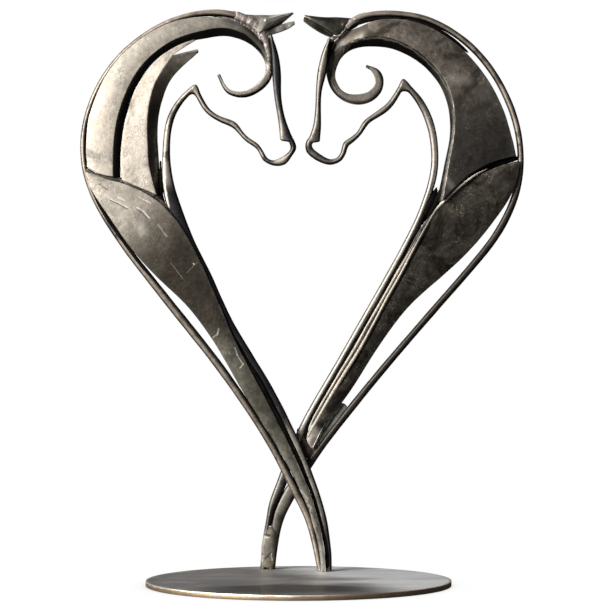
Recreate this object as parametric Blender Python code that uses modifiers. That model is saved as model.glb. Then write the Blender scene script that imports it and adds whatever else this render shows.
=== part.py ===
"""Two forged steel horses face each other above a round plate.

Their crests and chests draw one heart, and their front legs cross at its point.
Metres, +Z up, seen from -Y. The plate's underside lies on the floor.
"""
import math

import bmesh
import bpy
import numpy as np

# Sizes of the piece, in metres
FIGURE_HEIGHT = 0.595
BASE_RADIUS = 0.157
BASE_THICKNESS = 0.0055
BASE_EDGE = 0.0007
BASE_OFFSET = 0.0037
BACK_MARGIN = 0.049

BAR_WIDTH = 0.0075
BAR_DEPTH = 0.011
BAR_CHAMFER = 0.0022

PLATE_THICKNESS = 0.003
LEAF_THICKNESS = 0.003
EAR_THICKNESS = 0.0018
FOLD_DEPTH = 0.012
SCROLL_FOLD = 0.005
LOCK_FOLD = 0.009
EAR_FOLD = 0.007
PLATE_DISH = 0.0012
MANE_TILT = 0.1
LEAF_SETBACK = 0.005
LEAF_WIDE = 0.04

FOOT_SPREAD = 0.0125
SPREAD_HEIGHT = 0.07
JOINT_GAP = 0.0003
FACET_ANGLE = math.radians(9)
LONGEST_FACET = 0.016
SPARE_STEP = 0.001
BASE_SIDES = 80

# Forms are read off a drawing ruled in squares: across from its left edge, down from its top.
# A bar's cut gives its inner edge and then its outer edge.
DRAWN_BAR = 7.06
LEFT_CREST = (
    (323, 570, 317, 570), (318.8, 546.5, 312.5, 548), (312.3, 518, 305.5, 521),
    (301.5, 494, 294, 498), (270.7, 436, 264, 440), (232.8, 378.2, 226, 383),
    (161.7, 287, 155, 292), (124, 239, 118, 243), (99, 199, 93, 202), (88, 169.7, 82, 171),
    (86, 142, 80, 142), (92.5, 108.5, 87, 107), (111.8, 71.5, 107, 68), (144, 40, 141, 35),
    (181.7, 21.3, 180, 15.5), (213, 17, 213, 10), (229, 18.5, 229.5, 11.3), (239.5, 21, 241, 14.5),
)
RIGHT_CREST = (
    (267, 570, 274.8, 570), (269, 539.5, 278.3, 541), (272.5, 514.5, 284, 518),
    (282, 493, 294, 499), (304.5, 462.5, 312, 467), (354, 398.3, 360, 403),
    (429.8, 309, 435, 314), (465.5, 268, 471, 273), (490.7, 236.5, 497, 241),
    (507, 207, 514, 210), (515.7, 178.7, 522.5, 180), (517.5, 160, 524, 160),
    (513.5, 126.5, 520, 125), (499, 88.8, 505, 86), (475, 54.8, 480, 50.5),
    (446.8, 32.3, 450, 26.5), (418.5, 20, 420, 13.5), (390, 16.8, 390, 10),
    (367.7, 18.3, 366, 11.7), (355, 23, 351.5, 17.3),
)
LEFT_FACE = (
    (325, 570, 331.5, 570), (324.3, 550, 330.8, 549), (319, 520.8, 326.6, 519),
    (307, 481.3, 314.3, 478.5), (290, 443, 298.2, 439.3), (270.3, 402.5, 278.4, 398.5),
    (220.5, 318.5, 229, 314),
    (200.3, 274, 209, 270), (185.5, 244.5, 194, 240), (176, 226.5, 186.5, 222),
    (167, 208.5, 180.5, 205), (162.8, 192, 175.5, 190), (161.8, 175.5, 172, 175),
    (162.5, 147.5, 170, 148), (167.8, 115.3, 174.7, 118), (175.7, 102.3, 181.2, 105.7),
    (185.5, 91.7, 189, 96.3), (195.8, 85, 193, 95), (200.8, 95, 196.3, 98.5),
    (206.5, 105.5, 201.5, 108.5), (213.5, 113, 210.5, 117.5), (223.5, 118, 221, 123.5),
    (236, 122.8, 232, 128), (242.5, 132, 238, 134), (249.5, 139, 246, 142.8),
    (257.5, 143.5, 254.5, 147.8), (262.8, 151, 258.5, 153), (266.3, 157.5, 262.3, 160.5),
    (272.5, 160.7, 272.5, 166), (281.5, 157.5, 285, 164.7), (287.5, 153, 291.5, 156.8),
    (290, 149, 296, 149), (289.3, 144.5, 295, 143.3), (288, 142.3, 293.5, 140),
    (280.5, 141.5, 292.8, 138.8), (279.3, 136.5, 290.5, 134), (278.3, 123, 285.5, 122),
    (273.8, 98.5, 281, 98), (271.7, 75.5, 281, 75), (271.3, 62, 279.5, 60),
    (270.3, 50, 276.5, 48.5), (268.8, 36.5, 271.8, 36.2),
)
RIGHT_FACE = (
    (266, 570, 259.5, 570), (267.5, 540, 262, 541), (270.5, 521, 265.8, 519.5),
    (278.5, 502, 271.5, 498), (302, 440, 294.5, 436), (343.9, 362, 337.8, 358.5),
    (378.4, 302, 372, 298.5), (406.9, 251, 399.7, 249), (426, 209.5, 419.5, 208),
    (438, 171, 430.3, 170), (438.2, 150, 430.8, 150), (436, 130, 428.2, 131.5),
    (422, 98, 416, 102.5), (412.5, 87.5, 408.8, 93), (402.5, 78.5, 404, 91.3),
    (397.5, 87.5, 400.8, 92.5), (389.5, 100, 394.5, 103.8), (380.5, 108.3, 384.5, 113.7),
    (369.5, 115.8, 372.5, 120.5), (362, 122, 367, 125.3), (357.5, 131, 361.8, 133.7),
    (350.5, 136.8, 354.5, 141.2), (342.3, 143.3, 347.3, 147), (340.8, 151, 346, 152.5),
    (337, 157, 340.8, 161), (330, 159, 329.5, 165), (322.5, 155.7, 318.5, 161.8),
    (316.5, 151.5, 311.5, 157.5), (313, 148.5, 306, 152), (311.8, 144.5, 304.8, 145.5),
    (313.5, 142.6, 305.8, 141), (319, 142, 307, 139.2), (320, 136.5, 309.3, 135.8),
    (321, 121, 313.8, 120), (321, 92, 315.2, 92), (326.5, 72, 317.3, 69.5),
    (328.2, 60, 319.6, 58.5), (328.8, 49.5, 322.9, 48), (330.3, 39, 328, 38.7),
)

# A mane's cut gives its outer edge, its inner edge and the folded flank's share of the width.
LEFT_MANE = (
    (87.5, 168, 120.5, 180, 0.2), (86.8, 150, 120.5, 160, 0.2), (88.5, 122, 124.5, 122, 0.2),
    (95.5, 99, 134, 93.5, 0.2), (109, 71.5, 147, 70, 0.2), (130, 48, 164, 53.5, 0.2),
    (158, 29, 183, 44, 0.25), (190, 18.7, 204, 39.3, 0.3), (222, 19.5, 226, 36.5, 0.4),
    (243, 26, 244, 41.3, 0.4), (263, 43, 258, 51.5, 0.33), (273, 61, 265, 65, 0.35),
    (271.5, 77, 264, 75.5, 0.5), (259.5, 91.5, 253, 87, 0.5), (243, 97.8, 241, 91.7, 0.5),
    (226, 93, 228.5, 89.3, 0.5), (216.5, 75, 219, 75, 0.5),
)
RIGHT_MANE = (
    (515.5, 156, 436, 203, 0.07), (513.5, 146, 444.5, 164, 0.05), (503, 110, 450.3, 126, 0.07),
    (485, 76, 443, 91, 0.13), (453, 41.5, 421, 63.3, 0.17), (413, 21.5, 391, 48.2, 0.27),
    (391, 19, 374, 46.2, 0.33), (373, 21, 360, 47, 0.34), (359, 27, 349, 50.5, 0.39),
    (344, 32.5, 341, 57.5, 0.45), (330.5, 44.5, 336.5, 67, 0.5), (325.5, 60, 335, 74, 0.58),
    (327, 79, 336, 80.5, 0.6), (333, 91.5, 341, 89, 0.6), (345, 101, 349, 93.3, 0.6),
    (358.5, 104, 358, 93.6, 0.6), (372, 100.5, 367.5, 91.3, 0.6), (382, 90, 374, 85, 0.6),
    (383.5, 77, 375, 78, 0.6), (378, 68, 371.5, 70.5, 0.6), (366.5, 63.8, 366, 65.5, 0.6),
)
# A leaf's cut gives its outer edge, its inner edge and how far its outer edge is set back.
LEFT_LEAF = (
    (86, 172.5, 88, 173, 0), (88.5, 184, 105, 178.7, 0), (97, 199, 128, 185.5, 0),
    (110.5, 219, 154, 198.5, 0), (130.5, 248, 178, 222.5, 0), (157.5, 278, 198, 257, 0.7),
    (186, 305, 215, 294, 1), (207, 332, 230, 330, 1), (243.5, 393, 267.5, 402, 0),
    (291.5, 473, 303.5, 476, 0), (304, 499, 313.5, 502, 0), (314, 528, 321, 530, 0),
    (319, 553, 324.5, 554, 0), (320.5, 570, 325.5, 570, 0),
)
RIGHT_LEAF = (
    (520, 162, 518, 161, 0), (517.5, 177, 497, 167, 0), (510, 197, 472, 179, 0),
    (496, 218, 446.5, 199, 0.6), (478, 241, 421.5, 226, 1), (456, 264, 405, 256, 1),
    (432, 285, 391, 280, 1), (411.5, 303.5, 378.5, 303.5, 1), (374.5, 352.5, 350.2, 353, 1),
    (353, 387, 329.3, 388, 0.8), (340.5, 404.5, 319.3, 405, 0.2), (321, 431, 307.5, 431, 0),
    (312.5, 449, 305.7, 439, 0),
)
# The loose lock: its free edge, the crease and the folded flank, with each point's share of the fold.
LOCK = (
    ((122.5, 181, 0.2), (157, 195.5, -0.2), (160.5, 197, 1)),
    ((120.5, 165, 0.2), (149, 166, -0.2), (159.5, 167, 1)),
    ((121.5, 145, 0.2), (148, 145, -0.2), (158, 145, 1)),
    ((125.5, 121, 0.2), (147.5, 121, -0.2), (158, 121, 1)),
    ((140, 81, 0.2), (156, 82, -0.1), (170, 81, 1)),
    ((162, 56, 0.1), (172.5, 57, 0), (185, 65, 0.8)),
)
LOCK_NEAR_TIP = (
    ((162, 56, 0.1), (172.5, 57, 0)), ((174, 48.5, 0), (181, 50.5, 0)),
    ((194.5, 40.4, 0.1), (195.5, 41.6, 0.1)),
)
LOCK_FAR_TIP = (
    ((172.5, 57, 0), (185, 65, 0.8)), ((184, 54.3, 0.3), (191, 60, 0.8)),
    ((198, 50.8, 0.6), (198.7, 53, 0.8)),
)
# An ear: its top edge, a rise in the near lip, that lip's rim, the hollow's floor, the far lip's edge.
LEFT_EAR = (
    ((241.8, 14.9, 0.4), (241, 18, 0.2), (240.2, 21.2, 0.3), (240.2, 21.2, 0.3), (240.2, 21.2, 0.3)),
    ((252, 15.8, 0.4), (251, 22, 0), (250.5, 27.7, 0.2), (250.5, 27.7, 0.2), (250.5, 27.7, 0.2)),
    ((261, 15.8, 0.4), (259, 24, 0), (259, 33.7, 0), (261, 34.6, 0.6), (265, 35, 0.4)),
    ((270, 16, 0.4), (267, 20, 0), (266, 26.5, 0), (270, 30, 1), (274, 34.2, 0.6)),
    ((279, 15.4, 0.3), (277.5, 17.4, 0), (277, 20.2, 0), (281, 25, 1), (284, 31, 0.7)),
)
LEFT_EAR_NEAR_TIP = (
    ((279, 15.4, 0.3), (277.5, 17.4, 0), (277, 20.2, 0), (281, 25, 1)),
    ((292, 13.2, 0.3), (292.3, 13.4, 0.2), (292.7, 13.8, 0.2), (293.4, 14.8, 0.5)),
)
LEFT_EAR_FAR_TIP = (
    ((281, 25, 1), (284, 31, 0.7)), ((287.5, 22.6, 1), (289.5, 28.4, 0.7)),
    ((293.8, 21.6, 0.9), (294.4, 24.6, 0.8)),
)
RIGHT_EAR = (
    ((350.8, 18, 0.4), (352.3, 20.5, 0.2), (354, 23.2, 0.3), (354, 23.2, 0.3), (354, 23.2, 0.3)),
    ((343, 17.3, 0.4), (344.5, 24, 0), (346, 29.5, 0.2), (346, 29.5, 0.2), (346, 29.5, 0.2)),
    ((334, 16.9, 0.4), (335, 25, 0), (336, 34.5, 0), (335, 35.6, 0.6), (333.5, 36.4, 0.4)),
    ((325, 17, 0.4), (325.5, 22, 0), (326, 29, 0), (325, 29.8, 1), (323, 33.5, 0.6)),
    ((315, 16.2, 0.4), (315.5, 19.4, 0), (316, 23.2, 0), (315, 24.2, 1), (312.5, 27.6, 0.6)),
    ((304, 14.6, 0.4), (303.8, 15.5, 0.3), (303.6, 16.8, 0.3), (303.4, 18, 0.8), (303.2, 20, 0.6)),
)

# Placing the drawing
OUTERMOST = (min(cut[2] for cut in LEFT_CREST), max(cut[2] for cut in RIGHT_CREST))
DRAWING_MIDDLE = sum(OUTERMOST) / 2
DRAWING_GROUND = max(cut[3] for cut in LEFT_CREST)
DRAWING_TOP = min(cut[3] for cut in LEFT_CREST + RIGHT_CREST)
SQUARE = FIGURE_HEIGHT / (DRAWING_GROUND - DRAWING_TOP)
WIDTH_SCALE = BAR_WIDTH / (DRAWN_BAR * SQUARE)

# Layers, measured back from a horse's own middle plane
PLATE_FRONT = -(BAR_DEPTH / 2 + JOINT_GAP + PLATE_THICKNESS)
LEAF_FRONT = -(BAR_DEPTH / 2 + JOINT_GAP + LEAF_THICKNESS)
BEHIND_BARS = BAR_DEPTH / 2 + JOINT_GAP
HALF_SPACING = (BAR_DEPTH + JOINT_GAP) / 2
CENTRE_BACK = BASE_RADIUS - BACK_MARGIN
BASE_MIDDLE = -BASE_OFFSET


def ease(share):
    """A soft step from 0 to 1."""
    share = min(1.0, max(0.0, share))
    return share * share * (3 - 2 * share)


def placed(across, down):
    """The drawing's point as a distance from the middle and a height above the plate."""
    return (across - DRAWING_MIDDLE) * SQUARE, (DRAWING_GROUND - down) * SQUARE


def stance(height):
    """How far a horse's plane stands off the middle: close together, wider at the feet."""
    return HALF_SPACING + (FOOT_SPREAD - HALF_SPACING) * ease(1 - height / SPREAD_HEIGHT)


def slope_at(cuts, spans, index):
    """The run's direction at one cut, weighed by the distance to its neighbours."""
    if index == 0:
        return (cuts[1] - cuts[0]) / spans[0]
    if index == len(spans):
        return (cuts[-1] - cuts[-2]) / spans[-1]
    before = (cuts[index] - cuts[index - 1]) / spans[index - 1]
    after = (cuts[index + 1] - cuts[index]) / spans[index]
    return (before * spans[index] + after * spans[index - 1]) / (spans[index - 1] + spans[index])


def stations(cuts):
    """Cuts along a smooth run through the given ones, closer together where it turns.

    Each cut is an array of points, and each point is (x, z) or (x, z, depth).
    """
    cuts = [np.array(cut, float) for cut in cuts]
    centres = [cut.mean(axis=0)[:2] for cut in cuts]
    spans = [max(float(np.linalg.norm(b - a)), JOINT_GAP) for a, b in zip(cuts, cuts[1:])]
    slopes = [slope_at(cuts, spans, index) for index in range(len(cuts))]
    run = []
    for index, span in enumerate(spans):
        start, end = cuts[index], cuts[index + 1]
        leave, arrive = slopes[index] * span, slopes[index + 1] * span
        first, last = leave.mean(axis=0)[:2], arrive.mean(axis=0)[:2]
        turn = abs(math.atan2(first[0] * last[1] - first[1] * last[0], first @ last))
        length = float(np.linalg.norm(centres[index + 1] - centres[index]))
        wanted = max(1, turn / FACET_ANGLE, length / LONGEST_FACET)
        steps = math.ceil(wanted - SPARE_STEP)
        for step in range(steps):
            t = step / steps
            run.append(
                start * (2 * t ** 3 - 3 * t ** 2 + 1) + leave * (t ** 3 - 2 * t ** 2 + t)
                + end * (3 * t ** 2 - 2 * t ** 3) + arrive * (t ** 3 - t ** 2)
            )
    run.append(cuts[-1])
    return run


def steel(name, colour, roughness, metallic=1.0):
    """A plain metal in the piece's own colour."""
    material = bpy.data.materials.new(name)
    material.use_nodes = True
    shader = material.node_tree.nodes["Principled BSDF"]
    shader.inputs["Base Color"].default_value = (*colour, 1)
    shader.inputs["Roughness"].default_value = roughness
    shader.inputs["Metallic"].default_value = metallic
    return material


def finished(name, mesh, material, parent):
    """Turns a bmesh into an object of the collection, standing with its parent."""
    bmesh.ops.recalc_face_normals(mesh, faces=mesh.faces)
    data = bpy.data.meshes.new(name)
    mesh.to_mesh(data)
    mesh.free()
    data.materials.append(material)
    thing = bpy.data.objects.new(name, data)
    thing.parent = parent
    collection.objects.link(thing)
    return thing


def edges_of(cuts, anchor):
    """A bar's two edges at each cut, set to the bar's width about the share called anchor."""
    rows = []
    for cut in cuts:
        inner, outer = np.array(placed(*cut[:2])), np.array(placed(*cut[2:]))
        fixed = inner + (outer - inner) * anchor
        rows.append((fixed + (inner - fixed) * WIDTH_SCALE, fixed + (outer - fixed) * WIDTH_SCALE))
    return rows


def set_beside(run, neighbour):
    """Moves a bar's cuts sideways until they stand clear of the rising bar next to them."""
    rising = [neighbour[0][0]]
    for inner, outer in neighbour[1:]:
        if inner[1] <= rising[-1][1]:
            break
        rising.append(inner)
    side = 1 if run[0][1][0] > neighbour[0][1][0] else -1
    moved = []
    for inner, outer in run:
        reach = np.interp(inner[1], [edge[1] for edge in rising], [edge[0] for edge in rising])
        shift = np.array((side * max(0.0, side * (reach - inner[0]) + 2 * JOINT_GAP), 0.0))
        moved.append((inner + shift, outer + shift))
    return moved


def bar(name, run, side, material, parent):
    """A forged bar: a chamfered oblong section along the run between its two edges."""
    mesh = bmesh.new()
    rings = []
    half = BAR_DEPTH / 2
    for inner, outer in run:
        width = float(np.linalg.norm(outer - inner))
        cut = min(BAR_CHAMFER, 0.35 * width)
        share = cut / width
        section = (
            (share, -half), (1 - share, -half), (1, cut - half), (1, half - cut),
            (1 - share, half), (share, half), (0, half - cut), (0, cut - half),
        )
        ring = []
        for across, depth in section:
            x, z = inner + (outer - inner) * across
            ring.append(mesh.verts.new((x, side * stance(z) + depth, z)))
        rings.append(ring)
    count = len(rings[0])
    for near, far in zip(rings, rings[1:]):
        for index in range(count):
            other = (index + 1) % count
            mesh.faces.new((near[index], near[other], far[other], far[index]))
    for ring in (rings[0], rings[-1]):
        for index in range(count // 2 - 1):
            mesh.faces.new((ring[index], ring[index + 1], ring[count - 2 - index], ring[count - 1 - index]))
    thing = finished(name, mesh, material, parent)
    thing.data.shade_smooth()
    thing.data.set_sharp_from_angle(angle=math.radians(32))
    return thing


def sheet(name, panels, side, thickness, material, parent, even=True):
    """A bent plate: smooth panels sharing their seams, thickened backwards."""
    mesh = bmesh.new()
    for panel in panels:
        rows = [
            [mesh.verts.new((x, side * stance(z) + depth, z)) for x, z, depth in row]
            for row in stations(panel)
        ]
        for near, far in zip(rows, rows[1:]):
            for index in range(len(near) - 1):
                mesh.faces.new((near[index], near[index + 1], far[index + 1], far[index]))
    bmesh.ops.remove_doubles(mesh, verts=mesh.verts, dist=JOINT_GAP / 10)
    bmesh.ops.recalc_face_normals(mesh, faces=mesh.faces)
    facing = sum(face.normal.y * face.calc_area() for face in mesh.faces)
    if facing > 0:
        bmesh.ops.reverse_faces(mesh, faces=mesh.faces)
    data = bpy.data.meshes.new(name)
    mesh.to_mesh(data)
    mesh.free()
    data.materials.append(material)
    data.shade_smooth()
    thing = bpy.data.objects.new(name, data)
    thing.parent = parent
    collection.objects.link(thing)
    shell = thing.modifiers.new("thickness", "SOLIDIFY")
    shell.thickness = thickness
    shell.offset = -1
    shell.use_even_offset = even
    shell.use_quality_normals = True
    return thing


def mane_panel(cuts, dive_from, bow):
    """A mane's rows: a dished face, a folded flank, and the curl that dives behind the face bar."""
    rows = []
    for index, (ox, oz, ix, iz, flank) in enumerate(cuts):
        outer, inner = np.array(placed(ox, oz)), np.array(placed(ix, iz))
        front = PLATE_FRONT + (BEHIND_BARS - PLATE_FRONT) * ease((index - dive_from) / 3)
        inner_fold = FOLD_DEPTH * (1 - ease((index - dive_from) / 4))
        outer_fold = SCROLL_FOLD * ease((index - dive_from - 1) / 4)
        sag = bow * SQUARE * max(0.0, 1 - index / 2) ** 2
        rise = MANE_TILT * float(np.linalg.norm(inner - outer)) * (1 - ease((index - dive_from) / 3))
        row = []
        for share in (0, 1 / 3, 2 / 3, 1):
            hump = 4 * share * (1 - share)
            x, z = outer + (inner - outer) * share * (1 - flank)
            depth = front - rise * share - PLATE_DISH * hump + outer_fold * (1 - share)
            row.append((x, z - sag * hump, depth))
        row.append((*inner, front + inner_fold))
        rows.append(row)
    return rows


def leaf_panel(cuts):
    """A leaf's rows: a shallow dish that leans back towards the outer edge."""
    rows = []
    for ox, oz, ix, iz, set_back in cuts:
        outer, inner = np.array(placed(ox, oz)), np.array(placed(ix, iz))
        width = float(np.linalg.norm(inner - outer))
        rise = PLATE_DISH * min(1.0, width / (6 * LEAF_THICKNESS))
        lean = LEAF_SETBACK * set_back * min(1.0, width / LEAF_WIDE)
        row = []
        for share in (0, 1 / 3, 2 / 3, 1):
            x, z = outer + (inner - outer) * share
            row.append((x, z, LEAF_FRONT + lean * (1 - share) - rise * 4 * share * (1 - share)))
        rows.append(row)
    return rows


def folded_panel(cuts, front, fold):
    """Rows of a small folded piece, each point set back by its share of the fold."""
    return [[(*placed(across, down), front + fold * share) for across, down, share in cut] for cut in cuts]


def base_plate(material):
    """The round plate, with its cut edge slightly broken."""
    mesh = bmesh.new()
    bmesh.ops.create_cone(
        mesh, segments=BASE_SIDES, radius1=BASE_RADIUS, radius2=BASE_RADIUS,
        depth=BASE_THICKNESS, cap_ends=True,
    )
    plate = finished("base_plate", mesh, material, None)
    plate.location = (BASE_MIDDLE, 0, BASE_THICKNESS / 2)
    rim = plate.modifiers.new("broken_edge", "BEVEL")
    rim.width = BASE_EDGE
    rim.segments = 1
    rim.limit_method = "ANGLE"
    rim.angle_limit = math.radians(60)
    plate.data.shade_smooth()
    plate.data.set_sharp_from_angle(angle=math.radians(32))
    return plate


for thing in list(bpy.data.objects):
    bpy.data.objects.remove(thing, do_unlink=True)
collection = bpy.data.collections.new("metal_horse_statue")
bpy.context.scene.collection.children.link(collection)

figure = bpy.data.objects.new("figure", None)
figure.location = (0, CENTRE_BACK, BASE_THICKNESS + JOINT_GAP)
collection.objects.link(figure)

bar_steel = steel("bar_steel", (0.30, 0.275, 0.245), 0.42)
face_steel = steel("face_steel", (0.33, 0.30, 0.27), 0.40)
mane_steel = steel("mane_steel", (0.36, 0.335, 0.29), 0.45)
leaf_steel = steel("leaf_steel", (0.21, 0.19, 0.16), 0.50)
ear_steel = steel("ear_steel", (0.31, 0.29, 0.25), 0.42)
base_steel = steel("base_steel", (0.42, 0.40, 0.39), 0.36)

base_plate(base_steel)

HORSES = (
    ("left", -1, LEFT_CREST, LEFT_FACE, LEFT_MANE, LEFT_LEAF, 8, 2.5),
    ("right", 1, RIGHT_CREST, RIGHT_FACE, RIGHT_MANE, RIGHT_LEAF, 7, -10),
)
for word, side, crest_cuts, face_cuts, mane_cuts, leaf_cuts, dive_from, bow in HORSES:
    crest = stations(edges_of(crest_cuts, 1))
    face = set_beside(stations(edges_of(face_cuts, 0.5)), crest)
    bar(word + "_crest_bar", crest, side, bar_steel, figure)
    bar(word + "_face_bar", face, side, face_steel, figure)
    mane = mane_panel(mane_cuts, dive_from, bow)
    mane_name = word + ("_mane_band" if side < 0 else "_mane_plate")
    sheet(mane_name, [mane], side, PLATE_THICKNESS, mane_steel, figure)
    sheet(word + "_shoulder_plate", [leaf_panel(leaf_cuts)], side, LEAF_THICKNESS, leaf_steel, figure)

lock = [folded_panel(cuts, PLATE_FRONT, LOCK_FOLD) for cuts in (LOCK, LOCK_NEAR_TIP, LOCK_FAR_TIP)]
sheet("left_mane_lock", lock, -1, PLATE_THICKNESS, mane_steel, figure)

EARS = (
    ("left", -1, (LEFT_EAR, LEFT_EAR_NEAR_TIP, LEFT_EAR_FAR_TIP)),
    ("right", 1, (RIGHT_EAR,)),
)
for word, side, parts in EARS:
    panels = [folded_panel(cuts, -BAR_DEPTH / 2, EAR_FOLD) for cuts in parts]
    sheet(word + "_ear", panels, side, EAR_THICKNESS, ear_steel, figure, even=False)
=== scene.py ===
# Looks for the forged steel horses: softened and hammered steel, welds, lacquer, light and camera.
import math

import bpy
import numpy as np
from mathutils import Matrix, Vector, noise
from mathutils.bvhtree import BVHTree


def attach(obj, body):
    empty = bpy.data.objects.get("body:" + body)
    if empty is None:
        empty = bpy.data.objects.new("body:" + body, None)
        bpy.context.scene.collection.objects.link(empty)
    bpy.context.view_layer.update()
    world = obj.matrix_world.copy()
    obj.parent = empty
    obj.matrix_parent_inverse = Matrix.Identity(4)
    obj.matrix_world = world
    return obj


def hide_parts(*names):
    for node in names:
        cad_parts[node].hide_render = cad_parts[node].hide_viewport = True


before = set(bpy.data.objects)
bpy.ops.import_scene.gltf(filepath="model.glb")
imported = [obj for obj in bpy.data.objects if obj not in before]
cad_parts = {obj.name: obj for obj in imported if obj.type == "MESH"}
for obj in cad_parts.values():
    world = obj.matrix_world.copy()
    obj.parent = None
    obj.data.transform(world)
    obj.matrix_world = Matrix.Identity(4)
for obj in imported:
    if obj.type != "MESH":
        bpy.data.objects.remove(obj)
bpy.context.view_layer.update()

# The drawing that the solids were read from: squares across and down, and where it stands.
SQUARE = 0.0010625
MIDDLE = 302
GROUND = 570
FLOOR_TO_FEET = 0.0058
FIGURE_DEPTH = 0.108

# How far each horse's own plane stands off the middle: less above the legs, more at the feet.
CLOSE_STANCE = 0.00565
WIDE_STANCE = 0.0125
SPREAD_HEIGHT = 0.07

BASE_RADIUS = 0.157
BASE_HEIGHT = 0.0055
BASE_MIDDLE = -0.0037

# Points closer than this are one
MERGED = 0.00001

# A weld: how fine its skin is, how many squares lie from drop to drop, and the seed of their wobble.
# Without a seed the vector noise starts from the clock, and no two runs are the same. This seed leaves
# no loose specks of skin.
WELD_VOXEL = 0.0006
WELD_SPACING = 1.4
WELD_SEED = 3

# A rod: how many squares lie from ring to ring, and how many sides it has
ROD_SPACING = 3.0
ROD_SIDES = 12

# How wide the coarse and the fine hammer marks are
COARSE_MARKS = 0.019
FINE_MARKS = 0.0065


def spot(across, down, depth=0.0):
    """The drawing's point in the room, depth metres behind the figure's middle plane."""
    height = FLOOR_TO_FEET + (GROUND - down) * SQUARE
    return Vector(((across - MIDDLE) * SQUARE, FIGURE_DEPTH + depth, height))


def stance(down):
    """How far a horse's plane stands off the middle at a height of the drawing."""
    share = min(1.0, max(0.0, 1 - (GROUND - down) * SQUARE / SPREAD_HEIGHT))
    return CLOSE_STANCE + (WIDE_STANCE - CLOSE_STANCE) * share * share * (3 - 2 * share)


# Finishes

ACROSS = Matrix.Diagonal((1, 0, 1))


class Amount:
    """A number that varies over the steel. Arithmetic on it adds the Math nodes that it needs."""

    def __init__(self, finish, socket):
        self.finish, self.socket = finish, socket

    def math(self, operation, *values):
        return self.finish.node("ShaderNodeMath", {"operation": operation}, list(values))

    def __add__(self, other):
        return self.math("ADD", self, other)

    def __sub__(self, other):
        return self.math("SUBTRACT", self, other)

    def __rsub__(self, other):
        return self.math("SUBTRACT", other, self)

    def __mul__(self, other):
        return self.math("MULTIPLY", self, other)

    def most(self, other):
        return self.math("MAXIMUM", self, other)

    def least(self, other):
        return self.math("MINIMUM", self, other)

    def step(self, low, high):
        """A soft step from 0 at low to 1 at high; low may lie above high."""
        settings = {"interpolation_type": "SMOOTHSTEP"}
        if low > high:
            return 1 - self.step(high, low)
        return self.finish.node("ShaderNodeMapRange", settings, {0: self, 1: low, 2: high, 3: 0.0, 4: 1.0})

    __radd__ = __add__
    __rmul__ = __mul__


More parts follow.
